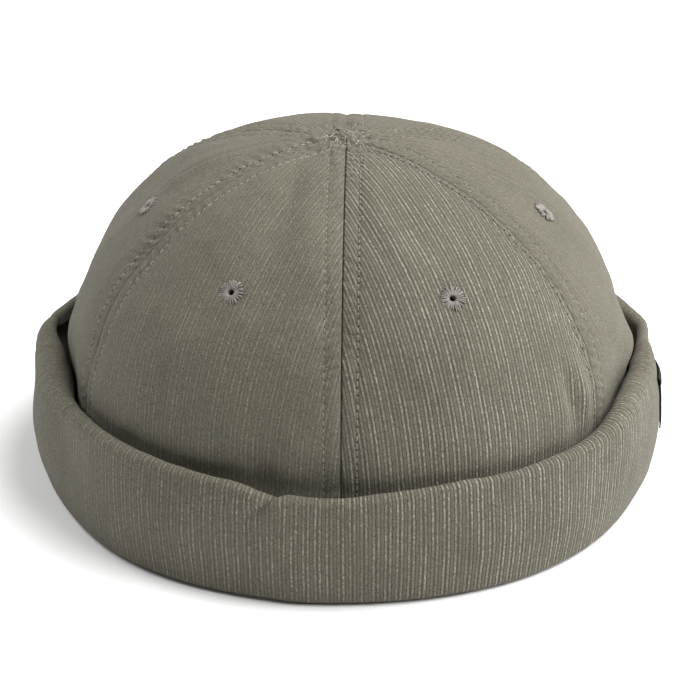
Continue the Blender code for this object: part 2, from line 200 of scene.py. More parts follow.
# The cuff all round: rim is a share of height, roll of rollFold, foot of footWidth, hem of returnLength,
# slack and bulge of their own sizes. The corners near 100 degrees are the folds that it is stored by.
CuffSection = namedtuple("CuffSection", "azimuth rim roll slack foot bulge hem")
cuffSections = (
    CuffSection(-160, 0.970, 0.55, 0.10, 0.56, 1.00, 1.00),
    CuffSection(-120, 0.959, 0.39, 0.88, 0.74, 0.90, 0.50),
    CuffSection(-106, 1.002, 0.16, 1.47, 0.88, 0.80, 0.24),
    CuffSection(-98, 1.023, 0.01, 1.80, 0.93, 0.99, 0.12),
    CuffSection(-87, 1.029, 1.45, 0.56, 0.92, 1.38, 0.70),
    CuffSection(-76, 1.018, 2.31, 0.19, 0.67, 2.05, 1.00),
    CuffSection(-62, 1.020, 0.73, 0.04, 0.41, 0.61, 1.00),
    CuffSection(-48, 1.002, 0.53, 0.03, 0.41, 1.00, 1.00),
    CuffSection(-28, 0.981, 0.48, 0.02, 0.40, 1.05, 1.00),
    CuffSection(-20, 0.951, 0.45, 0.02, 0.44, 1.05, 1.00),
    CuffSection(-13.7, 0.869, 0.46, 0.10, 0.52, 1.05, 1.00),
    CuffSection(-10, 0.888, 0.45, 0.07, 0.60, 1.05, 1.00),
    CuffSection(0, 0.880, 0.45, 0.02, 0.58, 1.00, 1.00),
    CuffSection(14, 0.936, 0.48, 0.03, 0.50, 1.00, 1.00),
    CuffSection(22, 0.966, 0.51, 0.04, 0.45, 1.00, 1.00),
    CuffSection(32, 0.972, 0.53, 0.08, 0.44, 1.00, 1.00),
    CuffSection(48, 0.964, 0.64, 0.03, 0.40, 0.93, 1.00),
    CuffSection(68, 1.022, 1.39, 0.02, 0.49, 1.78, 1.00),
    CuffSection(86, 1.003, 1.10, 0.12, 0.91, 1.72, 1.00),
    CuffSection(94, 1.012, 0.66, 0.54, 0.91, 1.19, 1.00),
    CuffSection(101, 0.990, 0.62, 1.05, 0.93, 0.74, 1.00),
    CuffSection(110, 0.970, 0.86, 0.30, 0.84, 0.88, 1.00),
    CuffSection(124, 0.955, 0.85, 0.15, 0.72, 0.90, 1.00),
    CuffSection(160, 0.970, 0.55, 0.10, 0.56, 1.00, 1.00),
)

# Folds on the cuff. Up is a share of the cuff's height, measured along the cloth from its lower fold.
cuffFolds = (
    Fold(-14.3, 0.75, 0.070, 0.010, 52, -1.25),
    Fold(-12.2, 0.78, 0.06, 0.030, 30, 0.45),
    Fold(-17.3, 0.74, 0.09, 0.030, 52, 0.35),
    Fold(95.0, 0.66, 0.20, 0.085, 0, -1.20),
    Fold(-102.0, 0.88, 0.30, 0.012, 0, -0.45),
    Fold(-98.0, 0.88, 0.26, 0.030, 0, 0.25),
    Fold(100.5, 0.88, 0.30, 0.012, 0, -0.35),
    Fold(97.0, 0.88, 0.26, 0.030, 0, 0.20),
)


def turnedBy(azimuth, other):
    return (azimuth - other + 180.0) % 360.0 - 180.0


def unit(vectors):
    return vectors / np.maximum(np.linalg.norm(vectors, axis=-1, keepdims=True), 1e-12)


def bell(distance, reach):
    return np.exp(-((distance / reach) ** 2))


def reachOf(points):
    # How far points stand from the upright axis
    return np.linalg.norm(points[..., :2], axis=-1)


def smoothStep(low, high, value):
    part = np.clip((value - low) / (high - low), 0.0, 1.0)
    return part * part * (3 - 2 * part)


def softNoise(points, size, seed, waves=12):
    # Smooth bumps of about this size, near -2 to 2, as a sum of waves in many directions
    draw = np.random.default_rng(seed)
    total = np.zeros(points.shape[:-1])
    for _ in range(waves):
        way = unit(draw.normal(size=points.shape[-1]))
        pitch = size * draw.uniform(0.75, 1.5)
        total += np.cos(points @ way * 2 * math.pi / pitch + draw.uniform(0, 2 * math.pi))
    return total / math.sqrt(waves / 2)


def planPoint(azimuth):
    turn = np.radians(azimuth)
    across, ahead = np.sin(turn), np.cos(turn)
    power = crown["planRoundness"]
    size = (abs(across) ** power + abs(ahead) ** power) ** (-1 / power)
    return np.stack([crown["halfWidth"] * across * size, -crown["halfDepth"] * ahead * size, 0 * size], -1)


def planOutward(azimuth):
    point = planPoint(azimuth)
    power = crown["planRoundness"] - 1
    leanX = abs(point[..., 0] / crown["halfWidth"]) ** power / crown["halfWidth"]
    leanY = abs(point[..., 1] / crown["halfDepth"]) ** power / crown["halfDepth"]
    leanX = np.copysign(leanX, point[..., 0])
    leanY = np.copysign(leanY, point[..., 1])
    return unit(np.stack([leanX, leanY, 0 * leanX], -1))


def domePoint(azimuth, rise):
    azimuth, rise = np.broadcast_arrays(np.asarray(azimuth, float), np.asarray(rise, float))
    share = np.sin(rise * math.pi / 2)
    reach = np.maximum(1.0 - share ** crown["topRoundness"], 0.0) ** (1 / crown["sideRoundness"])
    belowRim = np.maximum(1.0 - share * crown["height"] / cuff["height"], 0.0)
    reach = reach - crown["bandTuck"] / crown["halfWidth"] * belowRim ** 2
    point = planPoint(azimuth) * reach[..., None]
    point[..., 2] = crown["height"] * share
    return point


def domeOutward(azimuth, rise):
    step = 0.001
    rise = np.minimum(rise, 0.99)
    alongUp = domePoint(azimuth, rise + step) - domePoint(azimuth, rise - step)
    alongRight = domePoint(azimuth + step, rise) - domePoint(azimuth - step, rise)
    return unit(np.cross(alongRight, alongUp))


def riseAtHeight(height):
    return np.arcsin(np.minimum(height / crown["height"], 1.0)) * 2 / math.pi


def climb(rise):
    # Length along the cloth from the floor up to this rise
    rises = np.linspace(0, 1, 400)
    line = domePoint(45.0, rises)
    run = np.concatenate([[0.0], np.cumsum(np.linalg.norm(np.diff(line, axis=0), axis=-1))])
    return np.interp(rise, rises, run)


def riseAtClimb(length):
    rises = np.linspace(0, 1, 400)
    return np.interp(length, climb(rises), rises)


def riseAtReach(reach):
    low, high = 0.5, 1.0
    for _ in range(40):
        middle = (low + high) / 2
        if domePoint(90.0, middle)[0] > reach:
            low = middle
        else:
            high = middle
    return low


def foldShape(fold, depth, beside, above):
    # Beside and above are counted from the fold's middle, as shares of the crown's half width
    lean = math.radians(fold.turn)
    along = above * math.cos(lean) + beside * math.sin(lean)
    across = beside * math.cos(lean) - above * math.sin(lean)
    return fold.depth * depth * np.exp(-((along / fold.length) ** 2) - (across / fold.width) ** 2)


def foldRelief(azimuth, rise, radius, folds):
    relief = 0.0
    for fold in folds:
        beside = np.radians(turnedBy(azimuth, fold.azimuth)) * radius / crown["halfWidth"]
        above = (rise - fold.rise) * math.pi / 2 * crown["height"] / crown["halfWidth"]
        relief = relief + foldShape(fold, crown["foldDepth"], beside, above)
    return relief


def seamRelief(azimuth, rise, radius, height):
    # Valley, groove, pressed allowance, stitch lines and puckers at the nearest seam
    shows = np.minimum(height / cuff["height"], 1.0)
    reaches = [np.radians(turnedBy(azimuth, panel.seam)) * radius for panel in panels]
    nearest = np.argmin(np.abs(reaches), axis=0)
    reach = np.take_along_axis(np.array(reaches), nearest[None], 0)[0]
    apart = np.abs(reach)
    rows = np.array([panel.stitches for panel in panels])[nearest] * mm
    row = np.where(reach > 0, rows[..., 0], rows[..., 1])
    relief = -crown["seamDip"] * bell(apart, crown["seamDipReach"])
    grooveShare = np.array([panel.groove for panel in panels])[nearest]
    relief -= grooveShare * seamFinish["grooveDepth"] * bell(apart, seamFinish["grooveReach"])
    relief += seamFinish["ridge"] * bell(apart - seamFinish["ridgeMiddle"], seamFinish["ridgeReach"])
    relief -= seamFinish["stitchDip"] * bell(apart - row, seamFinish["stitchDipReach"])
    along = climb(rise)
    side = nearest * 2 + (reach > 0)
    place = np.stack([along, side * 0.5, apart * 0.15], -1)
    patches = softNoise(place, seamFinish["puckerPatch"], 3)
    strength = seamFinish["puckerShare"] + seamFinish["puckerChange"] * patches
    phase = 1.1 * softNoise(place, seamFinish["puckerDrift"], 5) + side * 1.7
    wave = np.cos(2 * math.pi * (along + 0.45 * apart) / seamFinish["puckerLength"] + phase)
    hold = bell(apart - 0.5 * seamFinish["puckerReach"], 0.75 * seamFinish["puckerReach"])
    pucker = seamFinish["puckerDepth"] * np.maximum(strength, 0) * wave * hold
    relief += pucker * (1 - bell(apart, seamFinish["puckerGap"]))
    return relief * shows


def clothRelief(azimuth, rise, place):
    radius = reachOf(place)
    relief = foldRelief(azimuth, rise, radius, crownFolds)
    relief = relief + foldRelief(azimuth, rise, radius, fineFolds)
    relief = relief + seamRelief(azimuth, rise, radius, place[..., 2])
    above = smoothStep(0.6 * cuff["height"], 1.2 * cuff["height"], place[..., 2])
    relief += above * clothSurface["swellDepth"] * softNoise(place, clothSurface["swellSize"], 11)
    relief += above * clothSurface["rippleDepth"] * softNoise(place, clothSurface["rippleSize"], 12)
    rumple = bell(radius, clothSurface["rumpleReach"]) * smoothStep(0.5, 0.9, rise)
    relief += rumple * clothSurface["rumpleDepth"] * softNoise(place, clothSurface["rumpleSize"], 13)
    return relief


def crownSurface(azimuth, rise, lift=0.0):
    azimuth, rise = np.broadcast_arrays(np.asarray(azimuth, float), np.asarray(rise, float))
    place = domePoint(azimuth, rise)
    return place + domeOutward(azimuth, rise) * (clothRelief(azimuth, rise, place) + lift)[..., None]


def smoothCrown(azimuth, height):
    # How far the CAD's crown stands out of its outline on the floor, which the cuff follows
    rise = riseAtHeight(height)
    place = domePoint(azimuth, rise)
    radius = reachOf(place)
    relief = foldRelief(azimuth, rise, radius, crownFolds)
    place = place + domeOutward(azimuth, rise) * relief[..., None]
    return ((place - planPoint(azimuth)) * planOutward(azimuth)).sum(-1)


# Making meshes


def addObject(name, data):
    thing = bpy.data.objects.new(name, data)
    bpy.context.scene.collection.objects.link(thing)
    return thing


def makeObject(name, points, faces, material, **maps):
    mesh = bpy.data.meshes.new(name)
    if not isinstance(faces, list):
        faces = faces.tolist()
    mesh.from_pydata(np.asarray(points).tolist(), [], faces)
    corners = np.zeros(len(mesh.loops), dtype=np.int32)
    mesh.loops.foreach_get("vertex_index", corners)
    for label, places in maps.items():
        layer = mesh.uv_layers.new(name=label)
        places = np.asarray(places, dtype=np.float32).reshape(-1, 2)
        layer.data.foreach_set("uv", places[corners].ravel())
    mesh.shade_smooth()
    mesh.materials.append(material)
    return addObject(name, mesh)


def gridFaces(rows, columns, closed=False):
    # Rows run upward and columns to the right, so that faces look outward
    index = np.arange(rows * columns).reshape(rows, columns)
    right = np.roll(index, -1, axis=1)
    if not closed:
        index, right = index[:, :-1], right[:, :-1]
    return np.stack([index[:-1], right[:-1], right[1:], index[1:]], -1).reshape(-1, 4)


def addWall(thing, thickness, offset):
    wall = thing.modifiers.new("wall", "SOLIDIFY")
    wall.thickness = thickness
    wall.offset = offset
    return wall


def dress(thing, slot, *nodes):
    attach(thing, body)
    if nodes:
        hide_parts(*nodes)
    return thing


def threadTubes(paths, radius, sides=6):
    # Short threads along paths of (points, outward), each closed at its ends
    points, quads, caps = [], [], []
    turns = np.linspace(0, 2 * math.pi, sides, endpoint=False)
    for line, outward in paths:
        along = unit(np.gradient(line, axis=0))
        beside = unit(np.cross(along, outward))
        upward = np.cross(beside, along)
        count = len(line)
        taper = np.full(count, radius)
        taper[0] = taper[-1] = 0.45 * radius
        ring = beside[:, None] * np.cos(turns)[None, :, None]
        ring = ring + upward[:, None] * np.sin(turns)[None, :, None]
        start = sum(len(part) for part in points)
        points.append((line[:, None] + ring * taper[:, None, None]).reshape(-1, 3))
        quads.append(gridFaces(count, sides, closed=True) + start)
        caps.append(start + np.arange(sides)[::-1])
        caps.append(start + (count - 1) * sides + np.arange(sides))
    return np.concatenate(points), np.concatenate(quads).tolist() + [cap.tolist() for cap in caps]


def makeThreads(name, paths, radius, material):
    return makeObject(name, *threadTubes(paths, radius), material)


# Node helpers


def feed(tree, socket, value):
    # A socket takes a number, a colour or what another socket gives
    if isinstance(value, (int, float)):
        socket.default_value = value
    elif isinstance(value, tuple):
        socket.default_value = (*value, 1.0)
    else:
        tree.links.new(value, socket)


def addMath(tree, operation, *values, clamp=False):
    node = tree.nodes.new("ShaderNodeMath")
    node.operation = operation
    node.use_clamp = clamp
    for socket, value in zip(node.inputs, values):
        feed(tree, socket, value)
    return node.outputs[0]


def addRange(tree, value, fromLow, fromHigh, toLow=0.0, toHigh=1.0):
    node = tree.nodes.new("ShaderNodeMapRange")
    node.interpolation_type = "SMOOTHSTEP"
    tree.links.new(value, node.inputs["Value"])
    limits = {"From Min": fromLow, "From Max": fromHigh, "To Min": toLow, "To Max": toHigh}
    for name, number in limits.items():
        node.inputs[name].default_value = number
    return node.outputs["Result"]


def addNoise(tree, x, y, z, detail=2.0):
    place = tree.nodes.new("ShaderNodeCombineXYZ")
    for socket, value in zip(place.inputs, (x, y, z)):
        feed(tree, socket, value)
    noise = tree.nodes.new("ShaderNodeTexNoise")
    noise.inputs["Scale"].default_value = 1.0
    noise.inputs["Detail"].default_value = detail
    noise.inputs["Roughness"].default_value = 0.5
    tree.links.new(place.outputs[0], noise.inputs["Vector"])
    return noise.outputs["Fac"]


def addMix(tree, factor, first, second, blend="MIX"):
    node = tree.nodes.new("ShaderNodeMix")
    node.data_type = "RGBA"
    node.blend_type = blend
    for place, value in ((0, factor), (6, first), (7, second)):
        feed(tree, node.inputs[place], value)
    return node.outputs[2]


def addMap(tree, label):
    node = tree.nodes.new("ShaderNodeUVMap")
    node.uv_map = label
    return node.outputs["UV"]


def splitIn(tree, vector):
    node = tree.nodes.new("ShaderNodeSeparateXYZ")
    tree.links.new(vector, node.inputs[0])
    return list(node.outputs)


def sumsIn(tree):
    # Short names for the sums that most nodes are made of
    names = ("ADD", "SUBTRACT", "MULTIPLY", "DIVIDE", "ABSOLUTE", "SINE")
    return [partial(addMath, tree, name) for name in names]


def newGroup(name, inputs, outputs):
    tree = bpy.data.node_groups.new(name, "ShaderNodeTree")
    for label, kind, value in inputs:
        socket = tree.interface.new_socket(name=label, in_out="INPUT", socket_type=kind)
        if value is not None:
            socket.default_value = value
    for label, kind in outputs:
        tree.interface.new_socket(name=label, in_out="OUTPUT", socket_type=kind)
    return tree, tree.nodes.new("NodeGroupInput"), tree.nodes.new("NodeGroupOutput")


weave = {
    "stripePeriod": 3.5,  # lengths here are in millimetres of cloth
    "lineOffset": 0.68,
    "lineHalfWidth": 0.27,
    "twillPitch": 0.72,
    "twillAcross": 0.74,
    "twillAlong": 0.67,
    "wander": 0.40,
    "grainShade": 1.35,
    "slubShade": 0.60,
    "twillShade": 0.15,
    "blotchShade": 0.30,
}


def makeWeaveGroup():
    tree, given, result = newGroup(
        "stripedTwill",
        [
            ("Grain", "NodeSocketVector", None),
            ("Ground", "NodeSocketColor", None),
            ("Line", "NodeSocketColor", None),
            ("Groove", "NodeSocketColor", None),
            ("Stripe", "NodeSocketFloat", 1.0),
        ],
        [("Color", "NodeSocketColor"), ("Height", "NodeSocketFloat")],
    )
    plus, minus, times, over, absolute, sine = sumsIn(tree)
    across, along = (times(part, 1000.0) for part in splitIn(tree, given.outputs["Grain"])[:2])
    stripe = given.outputs["Stripe"]

    def noiseAt(acrossScale, alongScale, seed, detail=2.0):
        return addNoise(tree, times(across, acrossScale), times(along, alongScale), seed, detail)

    # Lines in pairs, which wander a little and fade in and out along the cloth
    drift = times(minus(noiseAt(0.10, 0.035, 0.0), 0.5), 2 * weave["wander"])
    cycle = over(plus(across, drift), weave["stripePeriod"])
    number = addMath(tree, "FLOOR", cycle)
    signedPlace = times(minus(addMath(tree, "FRACT", cycle), 0.5), weave["stripePeriod"])
    apart = absolute(minus(absolute(signedPlace), weave["lineOffset"]))
    halfWidth = weave["lineHalfWidth"]
    line = addRange(tree, apart, 0.45 * halfWidth, 1.45 * halfWidth, 1.0, 0.0)
    groove = addRange(tree, apart, 1.1 * halfWidth, 1.7 * halfWidth)
    groove = times(groove, addRange(tree, apart, 1.9 * halfWidth, 3.0 * halfWidth, 1.0, 0.0))
    side = addMath(tree, "SIGN", signedPlace)
    lineNumber = plus(times(number, 7.31), times(side, 2.3))
    lineFade = addNoise(tree, lineNumber, times(along, 0.05), 3.0, 1.0)
    lineFade = addRange(tree, lineFade, 0.33, 0.68, 0.25, 1.05)

    # Slanted twill, broken up by the spinning of the yarn
    slant = plus(times(across, weave["twillAcross"]), times(along, weave["twillAlong"]))
    slant = plus(slant, times(noiseAt(1.1, 0.8, 0.0, 3.0), 2.2))
    twill = sine(times(slant, 2 * math.pi / weave["twillPitch"]))
    speckle = noiseAt(2.6, 1.7, 7.0)
    dash = addRange(tree, noiseAt(1.4, 0.9, 9.0), 0.34, 0.64)
    dash = addMath(tree, "MAXIMUM", dash, times(stripe, 0.18, clamp=True))
    dash = times(dash, plus(times(twill, 0.12), 0.90))
    strength = times(times(times(line, dash), lineFade), stripe, clamp=True)

    # The cloth dips beside each line, and its colour there darkens towards the groove colour as painted
    # shade
    grooveDipAndShade = times(groove, times(stripe, 0.8), clamp=True)
    colour = addMix(tree, grooveDipAndShade, given.outputs["Ground"], given.outputs["Groove"])
    colour = addMix(tree, strength, colour, given.outputs["Line"])
    grainShade = times(minus(speckle, 0.5), weave["grainShade"])
    grainShade = plus(grainShade, times(minus(noiseAt(1.0, 0.6, 2.0), 0.5), weave["slubShade"]))
    blotchShade = times(minus(noiseAt(0.05, 0.04, 5.0, 3.0), 0.5), weave["blotchShade"])
    shade = plus(plus(grainShade, times(twill, weave["twillShade"])), plus(blotchShade, 1.0))
    shadeColour = tree.nodes.new("ShaderNodeCombineColor")
    for socket in shadeColour.inputs:
        tree.links.new(shade, socket)
    colour = addMix(tree, 1.0, colour, shadeColour.outputs[0], "MULTIPLY")
    tree.links.new(colour, result.inputs["Color"])

    height = minus(times(strength, 0.14), times(grooveDipAndShade, 0.08))
    height = plus(plus(height, times(twill, 0.032)), times(speckle, 0.10))
    tree.links.new(height, result.inputs["Height"])
    return tree


def makeNeedleGroup():
    # A mask of the holes that the needle left along the two rows beside a seam, and one of the seam's line;
    # the cloth darkens both as painted shade
    tree, given, result = newGroup(
        "needleHoles",
        [
            ("Seam", "NodeSocketVector", None),
            ("Right Row", "NodeSocketFloat", 5.0),
            ("Left Row", "NodeSocketFloat", 995.0),
            ("Right Strength", "NodeSocketFloat", 1.0),
            ("Left Strength", "NodeSocketFloat", 1.0),
            ("Right Line", "NodeSocketFloat", 1.0),
            ("Left Line", "NodeSocketFloat", 1.0),
            ("Pitch", "NodeSocketFloat", stitching["pitch"] / mm),
            ("Radius", "NodeSocketFloat", 0.30),
            ("Line Reach", "NodeSocketFloat", 0.26),
        ],
        [("Mask", "NodeSocketFloat"), ("Line", "NodeSocketFloat")],
    )
    plus, minus, times, over, absolute, sine = sumsIn(tree)
    across, along = (times(part, 1000.0) for part in splitIn(tree, given.outputs["Seam"])[:2])
    fromRight = absolute(minus(across, given.outputs["Right Row"]))
    fromLeft = absolute(minus(across, given.outputs["Left Row"]))
    beside = addMath(tree, "MINIMUM", fromRight, fromLeft)
    cycle = plus(over(along, given.outputs["Pitch"]), 0.5)
    ahead = times(minus(addMath(tree, "FRACT", cycle), 0.5), given.outputs["Pitch"])
    ahead = times(ahead, 0.7)  # makes the holes longer than wide
    apart = addMath(tree, "SQRT", plus(times(beside, beside), times(ahead, ahead)))
    mask = addRange(tree, over(apart, given.outputs["Radius"]), 0.5, 1.5, 1.0, 0.0)
    edge = absolute(addMath(tree, "MINIMUM", across, minus(1000.0, across)))
    line = addRange(tree, over(edge, given.outputs["Line Reach"]), 0.2, 1.0, 1.0, 0.0)
    onLeft = addMath(tree, "GREATER_THAN", across, 500.0)
    onRight = minus(1.0, onLeft)

    def sideShare(label):
        atLeft = times(onLeft, given.outputs["Left " + label])
        return plus(atLeft, times(onRight, given.outputs["Right " + label]))

    # A weaker line also breaks up into dashes, as between the stitches that hold the seam
    lineShare = sideShare("Line")
    dash = sine(times(along, 2 * math.pi / (1.6 * stitching["pitch"] / mm)))
    patch = addNoise(tree, 0.0, times(along, 0.25), 4.0)
    dash = addRange(tree, plus(dash, times(patch, 2.0)), 0.5, 1.5)
    whole = addRange(tree, lineShare, 0.85, 1.0)
    line = times(times(line, lineShare), addMath(tree, "MAXIMUM", dash, whole))
    tree.links.new(line, result.inputs["Line"])
    tree.links.new(times(mask, sideShare("Strength")), result.inputs["Mask"])
    return tree


def newMaterial(name, roughness, specular, sheen):
    material = bpy.data.materials.new(name)
    material.use_nodes = True
    tree = material.node_tree
    shader = tree.nodes["Principled BSDF"]
    labels = ("Roughness", "Specular IOR Level", "Sheen Weight", "Sheen Roughness")
    for label, value in zip(labels, (roughness, specular, sheen, 0.5)):
        shader.inputs[label].default_value = value
    return material, tree, shader


def addBump(tree, shader, height, distance, strength):
    bump = tree.nodes.new("ShaderNodeBump")
    bump.inputs["Strength"].default_value = strength
    bump.inputs["Distance"].default_value = distance
    tree.links.new(height, bump.inputs["Height"])
    tree.links.new(bump.outputs["Normal"], shader.inputs["Normal"])
    return bump


cloth = {
    "ground": (0.118, 0.109, 0.082),
    "line": (0.262, 0.250, 0.205),
    # groove is the colour of the painted shade in the dips beside the stripes' lines
    "groove": (0.070, 0.064, 0.046),
    # hole is the near black of the painted shade in the needle holes and along the seams' lines
    "hole": (0.012, 0.011, 0.009),
    "roughness": 0.85,
    "specular": 0.20,
    "sheen": 0.05,
    "bump": 0.8,
    # The seams' lines and the needle holes are painted shade, darkened towards the hole colour
    "seamLineShade": 0.7,  # how dark the seams' lines and the needle holes are
    "needleHole": 0.75,
    "holeDepth": 0.25,
}


def makeTwill(name, stripe, panel=None, sheenMap=None):
    material, tree, shader = newMaterial(name, cloth["roughness"], cloth["specular"], cloth["sheen"])
    node = tree.nodes.new("ShaderNodeGroup")
    node.node_tree = weaveGroup
    for label in ("Ground", "Line", "Groove"):
        feed(tree, node.inputs[label], cloth[label.lower()])
    # Stripe sets how strongly the stripes show; the panels' values are a painted sheen that differs from
    # panel to panel
    node.inputs["Stripe"].default_value = stripe
    tree.links.new(addMap(tree, "grain"), node.inputs["Grain"])
    # A map can set the stripes' strength point by point, as the cuff's painted sheen does
    if sheenMap:
        tree.links.new(splitIn(tree, addMap(tree, sheenMap))[0], node.inputs["Stripe"])
    colour, height = node.outputs["Color"], node.outputs["Height"]
    if panel:
        holes = tree.nodes.new("ShaderNodeGroup")
        holes.node_tree = needleGroup
        tree.links.new(addMap(tree, "seam"), holes.inputs["Seam"])
        nextPanel = panels[(panels.index(panel) + 1) % len(panels)]
        rows = (panel.stitches[0], 1000 - nextPanel.stitches[1])
        for label, pair in (("Row", rows), ("Strength", panel.holes), ("Line", panel.lines)):
            holes.inputs["Right " + label].default_value = pair[0]
            holes.inputs["Left " + label].default_value = pair[1]
        # Painted shade: the colour darkens towards near black along the seam's line and in the needle holes
        dark = addMath(tree, "MULTIPLY", holes.outputs["Line"], cloth["seamLineShade"])
        holeShade = addMath(tree, "MULTIPLY", holes.outputs["Mask"], cloth["needleHole"])
        colour = addMix(tree, addMath(tree, "MAXIMUM", dark, holeShade), colour, cloth["hole"])
        sunk = addMath(tree, "MULTIPLY", holes.outputs["Mask"], cloth["holeDepth"])
        height = addMath(tree, "SUBTRACT", height, sunk)
    tree.links.new(colour, shader.inputs["Base Color"])
    addBump(tree, shader, height, mm, cloth["bump"])
    return material


def makeThreadMaterial(name, colour, dark, roughness):
    material, tree, shader = newMaterial(name, roughness, 0.35, 0.10)
    where = tree.nodes.new("ShaderNodeTexCoord")
    spots = []
    for scale in (2600.0, 420.0):
        noise = tree.nodes.new("ShaderNodeTexNoise")
        noise.inputs["Scale"].default_value = scale
        tree.links.new(where.outputs["Object"], noise.inputs["Vector"])
        spots.append(noise.outputs["Fac"])
    amount = addRange(tree, addMath(tree, "ADD", *spots), 0.75, 1.25)
    tree.links.new(addMix(tree, amount, dark, colour), shader.inputs["Base Color"])
    addBump(tree, shader, spots[0], 0.12 * mm, 0.6)
    return material


def makeTapeMaterial():
    material, tree, shader = newMaterial("blackTape", 0.75, 0.12, 0.0)
    across, along = splitIn(tree, addMap(tree, "grain"))[:2]
    waves = []
    for socket, pitch in ((along, 0.45 * mm), (across, 0.6 * mm)):
        waves.append(addMath(tree, "SINE", addMath(tree, "MULTIPLY", socket, 2 * math.pi / pitch)))
    woven = addRange(tree, addMath(tree, "MULTIPLY", *waves), -1.0, 1.0)
    shade = addMix(tree, woven, (0.008, 0.008, 0.009), (0.022, 0.022, 0.024))
    tree.links.new(shade, shader.inputs["Base Color"])
    addBump(tree, shader, woven, 0.08 * mm, 0.6)
    return material


weaveGroup = makeWeaveGroup()
needleGroup = makeNeedleGroup()
seamThread = makeThreadMaterial("seamThread", (0.225, 0.212, 0.172), (0.120, 0.112, 0.086), 0.75)
paleThread = makeThreadMaterial("paleThread", (0.330, 0.312, 0.262), (0.150, 0.140, 0.110), 0.75)
eyeletThread = makeThreadMaterial("eyeletThread", (0.262, 0.240, 0.214), (0.140, 0.127, 0.110), 0.60)
blackTape = makeTapeMaterial()


# Crown panels


def eyeletPlace(panel):
    rise = float(riseAtHeight(panel.eyeletHeight * crown["height"]))
    outward = domeOutward(np.array(panel.eyeletAzimuth), np.array(rise))
    return crownSurface(panel.eyeletAzimuth, rise), outward


def makePanel(number, panel):
    nextSeam = panels[(number + 1) % len(panels)].seam
    span = (nextSeam - panel.seam) % 360.0
    low, high = float(riseAtHeight(crown["bandSeamHeight"])), riseAtReach(crown["tipReach"])
    rise = np.linspace(low, high, crown["rows"] + 1)[:, None]
    share = np.linspace(0, 1, crown["columns"] + 1)
    share = 0.25 * share + 0.75 * (0.5 - 0.5 * np.cos(math.pi * share))  # columns close up at the seams
    radius = reachOf(domePoint(panel.seam, rise))
    inset = -np.minimum(np.degrees(seamFinish["overlap"] / 2 / radius), 1.0)
    azimuth = panel.seam + inset + (span - 2 * inset) * share[None, :]
    rise = np.broadcast_to(rise, azimuth.shape)
    points = crownSurface(azimuth, rise)

    # The grain runs up the panel's middle, so stripes end in a chevron at each seam
    bare = domePoint(azimuth, rise)
    middle = crown["columns"] // 2
    steps = np.linalg.norm(np.diff(bare, axis=1), axis=-1)
    across = np.concatenate([np.zeros((len(steps), 1)), np.cumsum(steps, axis=1)], axis=1)
    across = across - across[:, middle:middle + 1]
    shiftAcross, shiftAlong = crown["grainShift"]
    grain = np.stack([across + shiftAcross * number, climb(rise) + shiftAlong * number], -1)
    fromSeam = np.radians(turnedBy(azimuth, panel.seam)) * reachOf(bare)
    toSeam = np.radians(turnedBy(nextSeam, azimuth)) * reachOf(bare)
    besideSeam = np.where(np.arange(azimuth.shape[1]) <= middle, fromSeam, 1 - toSeam)
    seam = np.stack([besideSeam, climb(rise)], -1)

    faces = gridFaces(crown["rows"] + 1, crown["columns"] + 1)
    flatPoints = points.reshape(-1, 3)
    centre, _ = eyeletPlace(panel)
    middles = flatPoints[faces].mean(axis=1)
    faces = faces[np.linalg.norm(middles - centre, axis=1) > eyelet["cutOut"] * eyelet["radius"]]
    thing = makeObject("crown" + panel.name, flatPoints, faces, panelCloth[number], grain=grain, seam=seam)
    addWall(thing, crown["wall"], -1.0)
    return dress(thing, "twill", "panel_" + panel.node)


eyelet = {
    "radius": 4.0 * mm,
    "hole": 1.12 * mm,
    "stitches": 30,
    "thread": 0.25 * mm,  # radius of the laid thread
    "proud": 0.26 * mm,
    "unevenness": 0.45 * mm,
    "holeUnevenness": 0.12 * mm,
    "cutOut": 0.6,  # the hole in the cloth under it, as a share of its radius
}

# The profile of one wrapped stitch: reach is a share of the way from hole to edge, lift of proud
StitchStep = namedtuple("StitchStep", "reach lift")
stitchSteps = (
    StitchStep(-0.04, -1.9),
    StitchStep(0.00, -0.3),
    StitchStep(0.10, 0.7),
    StitchStep(0.30, 1.15),
    StitchStep(0.55, 1.20),
    StitchStep(0.78, 0.95),
    StitchStep(0.94, 0.35),
    StitchStep(1.02, -0.6),
)


def makeEyelet(number, panel):
    centre, outward = eyeletPlace(panel)
    turnTo = Vector(outward).to_track_quat("Z", "Y").to_matrix()
    axes = np.array(turnTo)
    draw = np.random.default_rng(100 + number)
    paths = []
    for face in (1.0, -1.0):
        for stitch in range(eyelet["stitches"]):
            turn = 2 * math.pi * (stitch + draw.uniform(-0.25, 0.25)) / eyelet["stitches"]
            lean = turn + draw.uniform(-0.09, 0.09)
            outer = eyelet["radius"] + eyelet["unevenness"] * draw.uniform(-1.0, 0.7)
            inner = eyelet["hole"] + eyelet["holeUnevenness"] * draw.uniform(-0.5, 1.0)
            line, ups = [], []
            for step in stitchSteps:
                reach = inner + (outer - inner) * step.reach
                turnHere = turn + (lean - turn) * step.reach
                lift = face * eyelet["proud"] * step.lift - (0 if face > 0 else crown["wall"])
                line.append(axes @ (reach * math.cos(turnHere), reach * math.sin(turnHere), lift) + centre)
                ups.append(face * outward)
            paths.append((np.array(line), np.array(ups)))
    thing = makeThreads("eyelet" + panel.name, paths, eyelet["thread"], eyeletThread)
    return dress(thing, "thread", "eyelet_" + panel.node)


# Topstitching beside the seams


